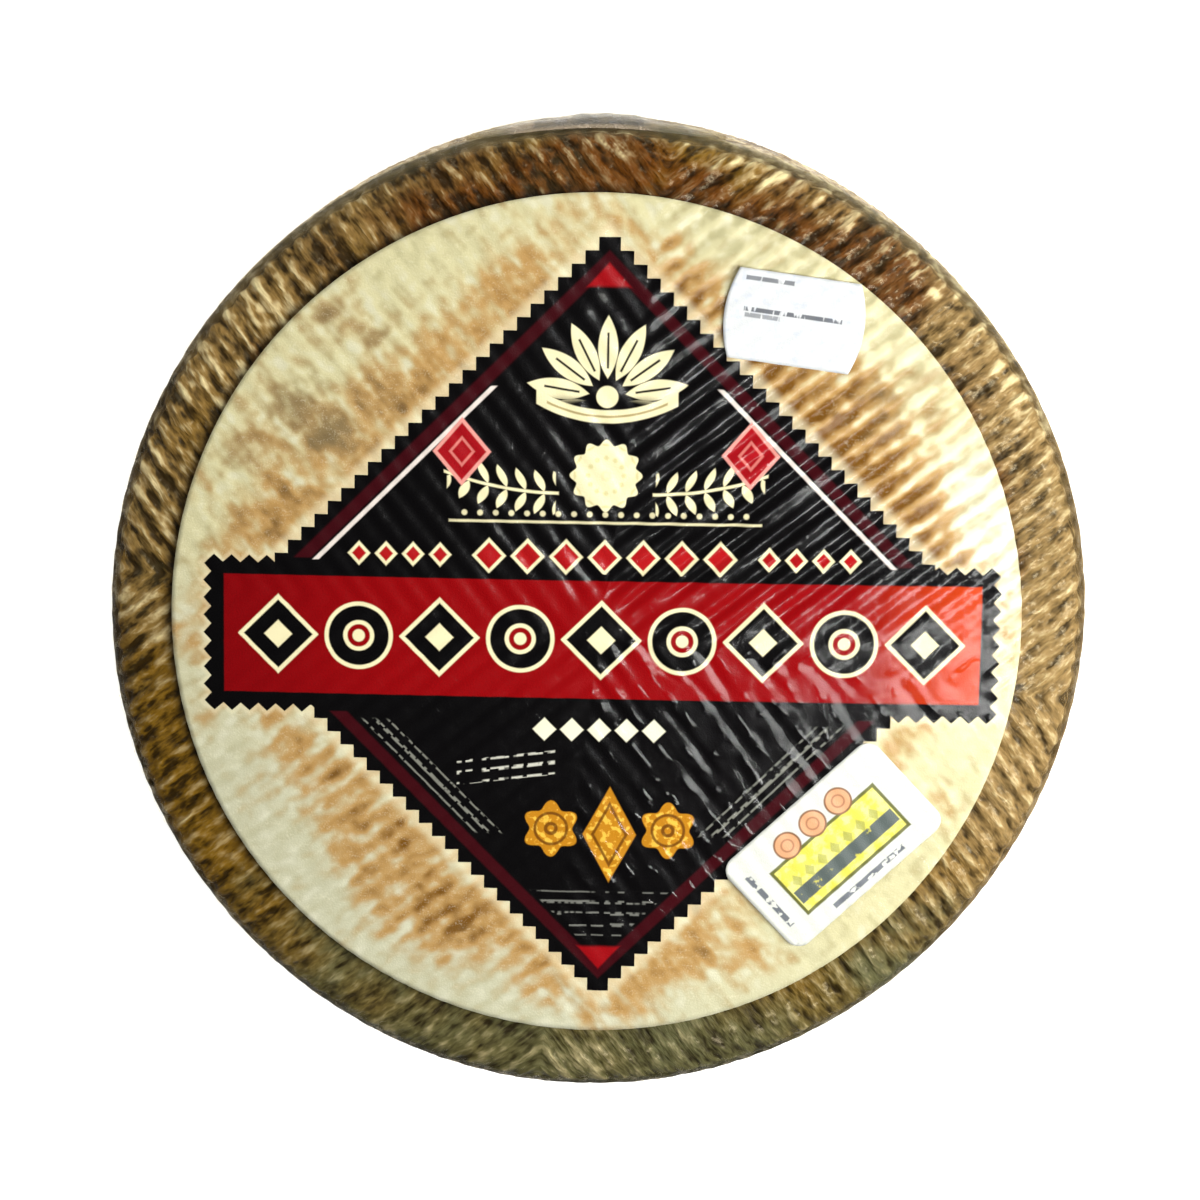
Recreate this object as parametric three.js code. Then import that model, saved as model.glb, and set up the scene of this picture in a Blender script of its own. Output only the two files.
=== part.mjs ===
// A whole wheel of cured cheese in clear film, with a round paper label and two stickers.
// Millimetres, +Z up. The origin is on the floor, under the middle of the wheel.
import * as THREE from "three";

// The wheel
const wheelHeight = 95;
const rimRadius = 94.8; // where the wall meets the rounded edges
const wallBulge = 1; // how far the middle of the wall stands out past the rim
const shoulderRadius = 6; // the rounded edges above and below the wall
const topCrown = 2; // the middle of the top is this much higher than its rim
const outOfRound = [
  { waves: 2, height: 0.31, crest: 90 },
  { waves: 3, height: 0.23, crest: 42 },
  { waves: 4, height: 0.24, crest: 14 },
];

// The pressed pattern on the top and the underside: four quadrants of straight ridges,
// each quadrant's ridges running outwards along its diagonal and meeting its neighbours in a V
const ridgePitch = 3.9;
const ridgeDepth = 1.3;
const ridgeTurn = -8; // degrees that the seams between quadrants are turned from the X and Y axes
const ridgeCentre = { x: 0.8, y: -3.2 };
const ridgeFadeStart = 2; // the ridges start to fade this far out on the rounded edge
const ridgeLeftAtEdge = 0.35; // share of their depth where the wall's pattern takes over
const topFlat = 5; // radius of the plain spot in the middle of the top
const restFlat = 26; // radius of the flat spot under the wheel
const flatBlend = 2; // the ridges reach their full depth this far outside a plain spot

// The plaited pattern on the wall: bands of slanting ridges that lean the other way in each band
const plaitBands = 7;
const plaitColumns = 212; // crests and grooves in turn
const plaitLean = 3; // columns that a ridge crosses on its way through one band
const plaitDepth = 1.1;
const plaitDepthAtEnds = 0.3;

// The paper and the film
const gap = 0.3;
const labelRadius = 82;
const labelThickness = 0.4;
const labelDip = 0.6; // how far the paper sinks between two ridges
const stickerThickness = 0.35;
const stickerGap = 0.38;
const priceSticker = { x: 37.6, y: 57.9, turn: -8.2, halfWidth: 11.6, halfHeight: 8.6, endBulge: 3.6 };
const gradeSticker = { x: 46.2, y: -44.1, turn: 42.6, width: 39.1, height: 22.8, corner: 3 };
const filmThickness = 0.4;
const filmFold = { middle: 90, spread: 15, steps: 18, waves: 3, ripple: 0.35 };
const filmFoldSection = [
  { drop: 2, out: 0.6 },
  { drop: 6, out: 1.3 },
  { drop: 11, out: 1.5 },
  { drop: 17, out: 0.6 },
];

// Mesh fineness
const ridgeStep = ridgePitch / 2; // a column of points on each crest and in each groove
const crownRow = 45; // radius of the one row of points that shapes the crown
const edgeAngles = [0, 26, 46, 64]; // places on the rounded edge that get a row of points
const leastRowStep = 0.8;
const seamMargin = 0.7;
const curveSegments = 8;
const crossingPasses = 6; // enough for a crossing with the uneven outline to settle

const radians = THREE.MathUtils.degToRad;

// A mark is a point with its reach, which says how far along its row it comes
const mark = (x, y, z, reach) => ({ point: new THREE.Vector3(x, y, z), reach });

// Outline of the wheel against a true circle, as a factor on its radius
function wheelOutline(angle) {
  const swell = outOfRound.map((wave) => wave.height * Math.cos(wave.waves * angle - radians(wave.crest)));
  return 1 + swell.reduce((sum, height) => sum + height, 0) / rimRadius;
}

const trueRound = () => 1;

// How far a point at this radius has dropped over the rounded edge
function edgeDrop(radius) {
  const over = Math.max(0, radius - (rimRadius - shoulderRadius));
  return shoulderRadius - Math.sqrt(shoulderRadius ** 2 - over ** 2);
}

function ridgeFade(radius) {
  const start = rimRadius - shoulderRadius + ridgeFadeStart;
  const end = shoulderRow(edgeAngles.at(-1));
  return 1 - (1 - ridgeLeftAtEdge) * THREE.MathUtils.clamp((radius - start) / (end - start), 0, 1);
}

// Radius of a row of points on the rounded edge, 0 degrees being its inner start
function shoulderRow(angle) {
  return rimRadius - shoulderRadius + shoulderRadius * Math.sin(radians(angle));
}

// Height of the crests on the top of the wheel
function topCrest(radius) {
  return wheelHeight - topCrown * (radius / rimRadius) ** 2 - edgeDrop(radius);
}

function wallRadius(height) {
  const low = shoulderRadius;
  const high = wheelHeight - topCrown - shoulderRadius;
  const along = THREE.MathUtils.clamp((height - low) / (high - low), 0, 1);
  return rimRadius + wallBulge * (1 - (2 * along - 1) ** 2);
}

// Fills the strip between two rows of marks with triangles
function stitch(right, left) {
  const triangles = [];
  let i = 0;
  let j = 0;
  while (i < right.length - 1 || j < left.length - 1) {
    const rightNext = i < right.length - 1 ? right[i + 1].reach : Infinity;
    const leftNext = j < left.length - 1 ? left[j + 1].reach : Infinity;
    if (rightNext <= leftNext) {
      triangles.push([right[i].point, right[i + 1].point, left[j].point]);
      i += 1;
    } else {
      triangles.push([right[i].point, left[j + 1].point, left[j].point]);
      j += 1;
    }
  }
  return triangles.filter(([a, b, c]) => !a.equals(b) && !b.equals(c) && !c.equals(a));
}

// Fills the band between two closed rings of equal counts, mark by mark
function stitchAligned(lower, upper) {
  const closed = (ring) => [...ring, ring[0]].map(({ point }, reach) => ({ point, reach }));
  return stitch(closed(lower), closed(upper));
}

// Fills the band between two closed rings of any counts, by their marks' places round the axis
function stitchByAngle(lower, upper) {
  const start = degreesRound(upper[0]);
  const slack = 1; // a mark this many degrees short of the start still counts as the first
  const closed = (ring) => {
    const marks = ring.map((item) => {
      const ahead = THREE.MathUtils.euclideanModulo(degreesRound(item) - start + slack, 360);
      return { point: item.point, reach: ahead - slack };
    });
    marks.sort((a, b) => a.reach - b.reach);
    return [...marks, { point: marks[0].point, reach: marks[0].reach + 360 }];
  };
  return stitch(closed(lower), closed(upper));
}

const degreesRound = ({ point }) => THREE.MathUtils.radToDeg(Math.atan2(point.y, point.x));

const facingDown = (triangles) => triangles.map(([a, b, c]) => [a, c, b]);

// Distance along a column of the pattern at which it crosses a ring of the wheel
function crossing(quadrant, across, radius, outline) {
  const foot = columnPlace(quadrant, across, 0);
  const heading = columnHeading(quadrant);
  const half = foot.x * Math.cos(heading) + foot.y * Math.sin(heading);
  let reach = radius;
  for (let pass = 0; pass < crossingPasses; pass += 1) {
    const place = columnPlace(quadrant, across, reach);
    const target = radius * outline(Math.atan2(place.y, place.x));
    reach = -half + Math.sqrt(half ** 2 - foot.x ** 2 - foot.y ** 2 + target ** 2);
  }
  return reach;
}

const columnHeading = (quadrant) => radians(ridgeTurn + 45 + 90 * quadrant);

function columnPlace(quadrant, across, reach) {
  const heading = columnHeading(quadrant);
  return {
    x: ridgeCentre.x + reach * Math.cos(heading) - across * Math.sin(heading),
    y: ridgeCentre.y + reach * Math.sin(heading) + across * Math.cos(heading),
  };
}

// Where column number count of both neighbouring quadrants starts, on the seam between them
function seamPlace(seam, count) {
  const heading = radians(ridgeTurn + 90 * (seam + 1));
  const reach = Math.SQRT2 * ridgeStep * count;
  return { x: ridgeCentre.x + reach * Math.cos(heading), y: ridgeCentre.y + reach * Math.sin(heading) };
}

const plainRadius = (place, outline) => Math.hypot(place.x, place.y) / outline(Math.atan2(place.y, place.x));

// The last column that still starts on the seam inside the face's edge.
// Paper's last column is on a crest, so that no crest under it comes through.
function lastOnSeam(seam, face) {
  const limit = face.radii.at(-1) - seamMargin;
  let count = 0;
  while (plainRadius(seamPlace(seam, count + 1), face.outline) < limit) {
    count += 1;
  }
  return face.endsOnCrest ? count - (count % 2) : count;
}

// One column of marks, on a crest or in a groove, from the middle of a face to its edge
function column(face, quadrant, index) {
  const across = index * ridgeStep;
  const inGroove = index % 2 !== 0;
  const markAt = (place, reach, groove) => {
    const radius = plainRadius(place, face.outline);
    return mark(place.x, place.y, face.heightAt(radius, groove), reach);
  };
  const marks = [];
  if (Math.abs(index) <= flatColumns(face)) {
    const start = Math.sqrt(face.flatRadius ** 2 - across ** 2);
    const full = Math.sqrt((face.flatRadius + flatBlend) ** 2 - across ** 2);
    marks.push(markAt(columnPlace(quadrant, across, start), start, false));
    marks.push(markAt(columnPlace(quadrant, across, full), full, inGroove));
  } else {
    const seam = index > 0 ? quadrant : (quadrant + 3) % 4;
    marks.push(markAt(seamPlace(seam, Math.abs(index)), Math.abs(across), inGroove));
  }
  for (const radius of face.radii) {
    const reach = crossing(quadrant, across, radius, face.outline);
    if (reach > marks.at(-1).reach + leastRowStep) {
      const place = columnPlace(quadrant, across, reach);
      marks.push(mark(place.x, place.y, face.heightAt(radius, inGroove), reach));
    }
  }
  return marks;
}

const flatColumns = (face) => Math.floor(face.flatRadius / (Math.SQRT2 * ridgeStep));

// The ridged face, seen from above. It gives its triangles and the ring of marks at its edge.
function ridgedFace(face) {
  const columns = [];
  const startsOnFlat = [];
  const corners = [];
  for (let quadrant = 0; quadrant < 4; quadrant += 1) {
    const first = -lastOnSeam((quadrant + 3) % 4, face);
    for (let index = first; index <= lastOnSeam(quadrant, face); index += 1) {
      const marks = column(face, quadrant, index);
      columns.push(marks);
      if (Math.abs(index) <= flatColumns(face)) {
        startsOnFlat.push(marks[0]);
      }
      if (index === flatColumns(face) + 1) {
        corners.push({ after: startsOnFlat.length - 1, tip: marks[0] });
      }
    }
  }
  const next = (list, i) => list[(i + 1) % list.length];
  const middle = mark(ridgeCentre.x, ridgeCentre.y, startsOnFlat[0].point.z, 0);
  const ridges = columns.flatMap((marks, i) => stitch(marks, next(columns, i)));
  const flat = startsOnFlat.map((item, i) => [middle.point, item.point, next(startsOnFlat, i).point]);
  const cornerPieces = corners.map(({ after, tip }) => {
    return [startsOnFlat[after].point, tip.point, next(startsOnFlat, after).point];
  });
  return { triangles: [...ridges, ...flat, ...cornerPieces], edge: columns.map((marks) => marks.at(-1)) };
}

// One ring of the plaited wall. The twist is in columns.
function plaitRing(height, twist, depth) {
  return Array.from({ length: plaitColumns }, (_, i) => {
    const angle = radians(ridgeTurn + (360 * (i + twist)) / plaitColumns);
    const radius = (wallRadius(height) - (i % 2) * depth) * wheelOutline(angle);
    return mark(radius * Math.cos(angle), radius * Math.sin(angle), height, i);
  });
}

function plaitedWall() {
  const low = shoulderRadius;
  const high = wheelHeight - topCrown - shoulderRadius;
  const rings = Array.from({ length: plaitBands + 1 }, (_, i) => {
    const atEnd = i === 0 || i === plaitBands;
    const height = low + ((high - low) * i) / plaitBands;
    return plaitRing(height, (i % 2) * plaitLean, atEnd ? plaitDepthAtEnds : plaitDepth);
  });
  const bands = rings.slice(1).flatMap((ring, i) => stitchAligned(rings[i], ring));
  return { triangles: bands, lowest: rings[0], highest: rings.at(-1) };
}

function cheeseWheel() {
  const edgeRows = edgeAngles.map(shoulderRow);
  const top = ridgedFace({
    radii: [crownRow, ...edgeRows],
    flatRadius: topFlat,
    outline: wheelOutline,
    heightAt: (radius, groove) => topCrest(radius) - (groove ? ridgeDepth * ridgeFade(radius) : 0),
  });
  const underside = ridgedFace({
    radii: edgeRows,
    flatRadius: restFlat,
    outline: wheelOutline,
    heightAt: (radius, groove) => edgeDrop(radius) + (groove ? ridgeDepth * ridgeFade(radius) : 0),
  });
  const wall = plaitedWall();
  return [
    ...top.triangles,
    ...facingDown(underside.triangles),
    ...wall.triangles,
    ...stitchByAngle(wall.highest, top.edge),
    ...stitchByAngle(underside.edge, wall.lowest),
  ];
}

// The paper disc rests on the crests and sinks a little between them
function paperLabel() {
  const sheet = (lift) => ridgedFace({
    radii: [crownRow, labelRadius],
    flatRadius: topFlat,
    outline: trueRound,
    endsOnCrest: true,
    heightAt: (radius, groove) => topCrest(radius) + lift - (groove ? labelDip : 0),
  });
  const printed = sheet(gap + labelThickness);
  const back = sheet(gap);
  const rim = stitchAligned(back.edge, printed.edge);
  return [...printed.triangles, ...facingDown(back.triangles), ...rim];
}

function triangleGeometry(triangles) {
  const corners = triangles.flat().flatMap((point) => [point.x, point.y, point.z]);
  const geometry = new THREE.BufferGeometry();
  geometry.setAttribute("position", new THREE.Float32BufferAttribute(corners, 3));
  geometry.computeVertexNormals();
  return geometry;
}

// A flat sticker cut to the given outline, laid on the label and bent to the top's crown
function stickerGeometry(shape, sticker) {
  const geometry = new THREE.ExtrudeGeometry(shape, {
    depth: stickerThickness,
    bevelEnabled: false,
    curveSegments,
  });
  geometry.rotateZ(radians(sticker.turn));
  geometry.translate(sticker.x, sticker.y, gap + labelThickness + stickerGap);
  const places = geometry.attributes.position;
  for (let i = 0; i < places.count; i += 1) {
    places.setZ(i, places.getZ(i) + topCrest(Math.hypot(places.getX(i), places.getY(i))));
  }
  geometry.computeVertexNormals();
  return geometry;
}

// The small sticker has straight long sides and ends that bulge
function priceShape({ halfWidth, halfHeight, endBulge }) {
  const shape = new THREE.Shape();
  shape.moveTo(-halfWidth, -halfHeight);
  shape.lineTo(halfWidth, -halfHeight);
  shape.quadraticCurveTo(halfWidth + endBulge, 0, halfWidth, halfHeight);
  shape.lineTo(-halfWidth, halfHeight);
  shape.quadraticCurveTo(-halfWidth - endBulge, 0, -halfWidth, -halfHeight);
  return shape;
}

function gradeShape({ width, height, corner }) {
  const x = width / 2;
  const y = height / 2;
  const shape = new THREE.Shape();
  shape.moveTo(-x + corner, -y);
  shape.lineTo(x - corner, -y);
  shape.absarc(x - corner, -y + corner, corner, -Math.PI / 2, 0, false);
  shape.absarc(x - corner, y - corner, corner, 0, Math.PI / 2, false);
  shape.absarc(-x + corner, y - corner, corner, Math.PI / 2, Math.PI, false);
  shape.absarc(-x + corner, -y + corner, corner, Math.PI, 1.5 * Math.PI, false);
  return shape;
}

// The film's gathered end lies folded against the upper edge, at the back of the top
function foldedFilm() {
  const rimHeight = wheelHeight - topCrown;
  const sections = Array.from({ length: filmFold.steps + 1 }, (_, i) => {
    const along = (2 * i) / filmFold.steps - 1;
    const angle = radians(filmFold.middle + filmFold.spread * along);
    const ripple = filmFold.ripple * Math.sin(filmFold.waves * Math.PI * along);
    const swell = Math.cos((along * Math.PI) / 2) + ripple;
    const side = (lift) => filmFoldSection.map(({ drop, out }, row) => {
      const level = Math.max(0, shoulderRadius - drop);
      const bend = Math.sqrt(shoulderRadius ** 2 - level ** 2) - shoulderRadius;
      const proud = filmFoldSection[0].out + Math.max(0, (out - filmFoldSection[0].out) * swell);
      const radius = (wallRadius(rimHeight - drop) + bend + proud + lift) * wheelOutline(angle);
      return mark(radius * Math.cos(angle), radius * Math.sin(angle), rimHeight - drop, row);
    });
    return { inner: side(0), outer: side(filmThickness) };
  });
  const skin = sections.slice(1).flatMap((section, i) => {
    const before = sections[i];
    const edge = (row) => stitch(
      [{ ...before.inner[row], reach: 0 }, { ...before.outer[row], reach: 1 }],
      [{ ...section.inner[row], reach: 0 }, { ...section.outer[row], reach: 1 }],
    );
    return [
      ...stitch(section.inner, before.inner),
      ...stitch(before.outer, section.outer),
      ...edge(0),
      ...facingDown(edge(filmFoldSection.length - 1)),
    ];
  });
  const firstEnd = stitch(sections[0].inner, sections[0].outer);
  const lastEnd = facingDown(stitch(sections.at(-1).inner, sections.at(-1).outer));
  return [...skin, ...firstEnd, ...lastEnd];
}

function piece(name, geometry, look) {
  const mesh = new THREE.Mesh(geometry, new THREE.MeshStandardMaterial(look));
  mesh.name = name;
  return mesh;
}

const rindLook = { color: "#8c7242", roughness: 0.5, metalness: 0 };
const labelLook = { color: "#ddd2a0", roughness: 0.55, metalness: 0 };
const stickerLook = { color: "#f4f6f6", roughness: 0.6, metalness: 0 };
const filmLook = { color: "#c3bda4", roughness: 0.2, metalness: 0, transparent: true, opacity: 0.5 };

const cheese = new THREE.Group();
cheese.add(piece("cheese_wheel", triangleGeometry(cheeseWheel()), rindLook));
cheese.add(piece("paper_label", triangleGeometry(paperLabel()), labelLook));
cheese.add(piece("price_sticker", stickerGeometry(priceShape(priceSticker), priceSticker), stickerLook));
cheese.add(piece("grade_sticker", stickerGeometry(gradeShape(gradeSticker), gradeSticker), stickerLook));
cheese.add(piece("film_fold", triangleGeometry(foldedFilm()), filmLook));

export default cheese;
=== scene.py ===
import math

import bmesh
import bpy
import numpy as np
from mathutils import Matrix, Vector, noise


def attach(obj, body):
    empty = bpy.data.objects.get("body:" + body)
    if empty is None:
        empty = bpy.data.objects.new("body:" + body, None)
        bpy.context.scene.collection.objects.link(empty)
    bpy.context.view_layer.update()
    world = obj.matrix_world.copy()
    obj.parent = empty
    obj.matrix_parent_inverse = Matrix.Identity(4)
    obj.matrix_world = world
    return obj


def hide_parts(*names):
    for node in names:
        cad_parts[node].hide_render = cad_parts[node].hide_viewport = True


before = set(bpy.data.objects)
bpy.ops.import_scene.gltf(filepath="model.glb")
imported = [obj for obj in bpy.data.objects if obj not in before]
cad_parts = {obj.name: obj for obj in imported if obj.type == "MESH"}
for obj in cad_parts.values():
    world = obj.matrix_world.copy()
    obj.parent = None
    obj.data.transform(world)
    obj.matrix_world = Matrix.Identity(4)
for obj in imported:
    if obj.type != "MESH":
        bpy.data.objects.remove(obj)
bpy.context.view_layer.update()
print("frame loaded:", ", ".join(sorted(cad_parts)))

# The wheel's form, as the solids have it. Lengths in this script are millimetres, and meshes are
# scaled to metres when they are done.
wheel = {
    "height": 95,
    "rimRadius": 94.8,
    "wallBulge": 1,
    "shoulder": 6,          # radius of the rounded edges
    "crown": 2,             # the middle of the top over its rim
    "waves": ((2, 0.31, 90), (3, 0.23, 42), (4, 0.24, 14)),  # out of round: waves, height, crest angle
    "ridgePitch": 3.9,
    "ridgeTurn": -8,
    "ridgeCentre": (0.8, -3.2),
    "restFlat": 26,         # plain spot under the wheel
    "plaitBands": 7,
    "plaitColumns": 212,
    "plaitLean": 3,
}
faceRadius = wheel["rimRadius"] - wheel["shoulder"]
wallLow = wheel["shoulder"]
wallHigh = wheel["height"] - wheel["crown"] - wheel["shoulder"]
bandHeight = (wallHigh - wallLow) / wheel["plaitBands"]
columnAngle = 2 * math.pi / wheel["plaitColumns"]
labelTop = 0.7              # the printed face lies this far above the crests
labelDip = 0.6


# ---- small helpers for meshes

def lathe(corners, steps, sectors=12):
    # corners are (radius, height, cuts on the way to the next corner)
    mesh = bmesh.new()
    points = [mesh.verts.new((radius, 0, height)) for radius, height, cuts in corners]
    edges = [mesh.edges.new(ends) for ends in zip(points, points[1:])]
    for edge, (radius, height, cuts) in zip(edges, corners):
        bmesh.ops.subdivide_edges(mesh, edges=[edge], cuts=cuts)
    sector = 2 * math.pi / sectors
    bmesh.ops.spin(mesh, geom=mesh.verts[:] + mesh.edges[:], axis=(0, 0, 1), cent=(0, 0, 0),
                   angle=sector, steps=steps // sectors, use_merge=False)
    first = mesh.verts[:] + mesh.edges[:] + mesh.faces[:]
    for i in range(1, sectors):  # far quicker than one long spin
        copy = bmesh.ops.duplicate(mesh, geom=first)["geom"]
        bmesh.ops.rotate(mesh, cent=(0, 0, 0), matrix=Matrix.Rotation(i * sector, 3, "Z"),
                         verts=[item for item in copy if isinstance(item, bmesh.types.BMVert)])
    bmesh.ops.remove_doubles(mesh, verts=mesh.verts, dist=0.001)
    bmesh.ops.recalc_face_normals(mesh, faces=mesh.faces)
    return mesh


def refineRim(mesh, innerRadius, isFine):
    # twice as many steps round the rim, where the pattern shows
    def roundTheAxis(edge):
        a, b = (Vector((v.co.x, v.co.y)).length for v in edge.verts)
        heights = [v.co.z for v in edge.verts]
        return abs(a - b) < 0.01 and abs(heights[0] - heights[1]) < 0.01 and a > innerRadius
    chosen = [edge for edge in mesh.edges if roundTheAxis(edge) and isFine(edge.verts[0].co)]
    bmesh.ops.subdivide_edges(mesh, edges=chosen, cuts=1)


def newObject(mesh, name):
    data = bpy.data.meshes.new(name)
    mesh.to_mesh(data)
    mesh.free()
    made = bpy.data.objects.new(name, data)
    bpy.context.scene.collection.objects.link(made)
    return made, data


def finishPiece(mesh, name, materials, replaced, attributes=()):
    bmesh.ops.scale(mesh, vec=(0.001, 0.001, 0.001), verts=mesh.verts)
    piece, data = newObject(mesh, name)
    for polygon in data.polygons:
        polygon.use_smooth = True
    for attribute, values in dict(attributes).items():
        kind, key = ("FLOAT", "value") if values.ndim == 1 else ("FLOAT_VECTOR", "vector")
        data.attributes.new(attribute, kind, "POINT").data.foreach_set(key, values.astype(np.float32).ravel())
    for material in materials:
        data.materials.append(material)
    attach(piece, "root")
    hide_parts(replaced)
    print(name, "has", sum(len(p.vertices) - 2 for p in data.polygons), "triangles")


def places(mesh):
    mesh.verts.ensure_lookup_table()
    return np.array([v.co for v in mesh.verts])


def movePlaces(mesh, points):
    for vertex, point in zip(mesh.verts, points.tolist()):
        vertex.co = point


def smoothStep(values, low, high):
    t = np.clip((values - low) / (high - low), 0, 1)
    return t * t * (3 - 2 * t)


def roughness(points, stretch=(1, 1, 1), seed=0.0):
    # gentle noise, about -1 to 1, with features about 1 mm long before the stretch
    scaled = points / np.array(stretch) + seed
    return np.array([noise.noise(Vector(p)) for p in scaled.tolist()])


# ---- the wheel's surface in numbers

def outlineFactor(angle):
    swell = sum(height * np.cos(count * angle - math.radians(crest))
                for count, height, crest in wheel["waves"])
    return 1 + swell / wheel["rimRadius"]


def crestHeight(radius):
    over = np.clip(radius - faceRadius, 0, wheel["shoulder"])
    drop = wheel["shoulder"] - np.sqrt(wheel["shoulder"] ** 2 - over ** 2)
    return wheel["height"] - wheel["crown"] * (radius / wheel["rimRadius"]) ** 2 - drop


def alongRidges(x, y):
    # place across and along the ridges of a face: four quadrants that meet in a V
    turn = math.radians(wheel["ridgeTurn"])
    x, y = x - wheel["ridgeCentre"][0], y - wheel["ridgeCentre"][1]
    a = np.abs(x * math.cos(turn) + y * math.sin(turn))
    b = np.abs(y * math.cos(turn) - x * math.sin(turn))
    return (b - a) / math.sqrt(2), (a + b) / math.sqrt(2)


def alongPlait(angle, height):
    # place across the slanting ridges of the wall, in ridges
    bands = (height - wallLow) / bandHeight
    lean = wheel["plaitLean"] * np.abs(bands - 2 * np.floor((bands + 1) / 2))
    return ((angle - math.radians(wheel["ridgeTurn"])) / columnAngle - lean) / 2


def ridgeProfile(turns, narrow):
    # 1 on a crest, 0 at the bottom of a groove
    return 1 - ((1 - np.cos(2 * math.pi * turns)) / 2) ** narrow


class WheelSkin:
    # reads a lathed blank as places on the wheel's crests, so that a piece can be laid over them
    def __init__(self, blank):
        points = places(blank)
        radius = np.hypot(points[:, 0], points[:, 1])
        self.angle = np.arctan2(points[:, 1], points[:, 0])
        self.upper = points[:, 2] > wheel["height"] / 2
        self.bend = np.clip((radius - faceRadius) / wheel["shoulder"], 0, 1) * math.pi / 2
        onWall = (radius > wheel["rimRadius"] - 0.05) & (points[:, 2] > wallLow) & (points[:, 2] < wallHigh)
        share = np.clip((points[:, 2] - wallLow) / (wallHigh - wallLow), 0, 1)
        bulge = np.where(onWall, wheel["wallBulge"] * (1 - (2 * share - 1) ** 2), 0)
        onEdge = faceRadius + wheel["shoulder"] * np.sin(self.bend)
        self.radius = np.where(radius > faceRadius, onEdge, radius)
        crest = np.where(self.upper, crestHeight(np.minimum(self.radius, wheel["rimRadius"])),
                         wheel["shoulder"] * (1 - np.cos(self.bend)))
        self.height = np.where(onWall, points[:, 2], crest)
        reach = (self.radius + bulge) * outlineFactor(self.angle)
        self.x, self.y = reach * np.cos(self.angle), reach * np.sin(self.angle)
        side = np.where(self.upper, 1, -1)
        level = np.sin(self.bend)
        self.outward = np.stack([level * np.cos(self.angle), level * np.sin(self.angle),
                                 np.cos(self.bend) * side], axis=1)
        self.across, self.along = alongRidges(self.x, self.y)
        self.plait = alongPlait(self.angle, self.height)
        self.onWall = smoothStep(self.bend, math.radians(48), math.radians(76))

    def points(self, lift=0.0):
        crests = np.stack([self.x, self.y, self.height], axis=1)
        return crests + self.outward * np.broadcast_to(lift, self.angle.shape)[:, None]

    def ridges(self, narrow, warp=0.0):
        face = ridgeProfile(self.across / wheel["ridgePitch"] + warp, narrow)
        return face * (1 - self.onWall) + ridgeProfile(self.plait + warp, narrow) * self.onWall


def ridgeDepth(skin, faceDepth, wallDepth):
    # shallower where the face's ridges end on the rounded edge and the wall's begin
    fade = 1 - 0.5 * smoothStep(skin.bend, math.radians(20), math.radians(60))
    rise = smoothStep(np.minimum(skin.height - wallLow, wallHigh - skin.height), -2, 8)
    return faceDepth * fade * (1 - skin.onWall) + wallDepth * (0.4 + 0.6 * rise) * skin.onWall


# ---- small helpers for materials

class Field:
    # a number that changes over the surface; arithmetic on it adds Math nodes
    def __init__(self, tree, socket):
        self.tree, self.socket = tree, socket

    def math(self, operation, *values):
        step = self.tree.nodes.new("ShaderNodeMath")
        step.operation = operation
        for socket, value in zip(step.inputs, values):
            join(self.tree, socket, value)
        return Field(self.tree, step.outputs[0])

    def __add__(self, other):
        return self.math("ADD", self, other)

    def __sub__(self, other):
        return self.math("SUBTRACT", self, other)

    def __rsub__(self, other):
        return self.math("SUBTRACT", other, self)

    def __mul__(self, other):
        return self.math("MULTIPLY", self, other)

    def __truediv__(self, other):
        return self.math("DIVIDE", self, other)

    def __pow__(self, other):
        return self.math("POWER", self, other)

    def __abs__(self):
        return self.math("ABSOLUTE", self)

    def __neg__(self):
        return self.math("MULTIPLY", self, -1.0)

    __radd__, __rmul__ = __add__, __mul__

    def least(self, other):
        return self.math("MINIMUM", self, other)

    def most(self, other):
        return self.math("MAXIMUM", self, other)

    def repeat(self, pitch):
        # distance from the middle of the nearest repeat
        return self.math("WRAP", self, pitch / 2, -pitch / 2)

    def ramp(self, low, high, start=0.0, end=1.0):
        step = self.tree.nodes.new("ShaderNodeMapRange")
        step.interpolation_type = "SMOOTHSTEP"
        for socket, value in zip(step.inputs, (self, low, high, start, end)):
            join(self.tree, socket, value)
        return Field(self.tree, step.outputs[0])


def join(tree, socket, value):
    if isinstance(value, Field):
        value = value.socket
    if isinstance(value, bpy.types.NodeSocket):
        tree.links.new(value, socket)
    else:
        socket.default_value = value


def addNode(tree, kind, inputs=(), **settings):
    made = tree.nodes.new(kind)
    for key, value in settings.items():
        setattr(made, key, value)
    for key, value in dict(inputs).items():
        join(tree, made.inputs[key], value)
    return made


def tint(red, green, blue):
    # a colour as a picture shows it, 0 to 255, made linear
    shares = [share / 255 for share in (red, green, blue)]
    return tuple(s / 12.92 if s < 0.04045 else ((s + 0.055) / 1.055) ** 2.4 for s in shares) + (1,)


def blend(tree, under, over, amount, how="MIX"):
    mix = addNode(tree, "ShaderNodeMix", data_type="RGBA", blend_type=how)
    join(tree, mix.inputs[0], amount)
    join(tree, mix.inputs[6], under)
    join(tree, mix.inputs[7], over)
    return mix.outputs[2]


class Painting:
    # a colour that tints and other colours are laid over
    def __init__(self, tree, colour):
        self.tree, self.colour = tree, tint(*colour) if isinstance(colour, tuple) else colour

    def paint(self, tone, amount):
        over = tint(*tone) if isinstance(tone, tuple) else tone
        self.colour = blend(self.tree, self.colour, over, amount)


def newMaterial(name):
    material = bpy.data.materials.new(name)
    material.use_nodes = True
    tree = material.node_tree
    tree.nodes.clear()
    output = addNode(tree, "ShaderNodeOutputMaterial")
    return material, tree, output


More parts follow.
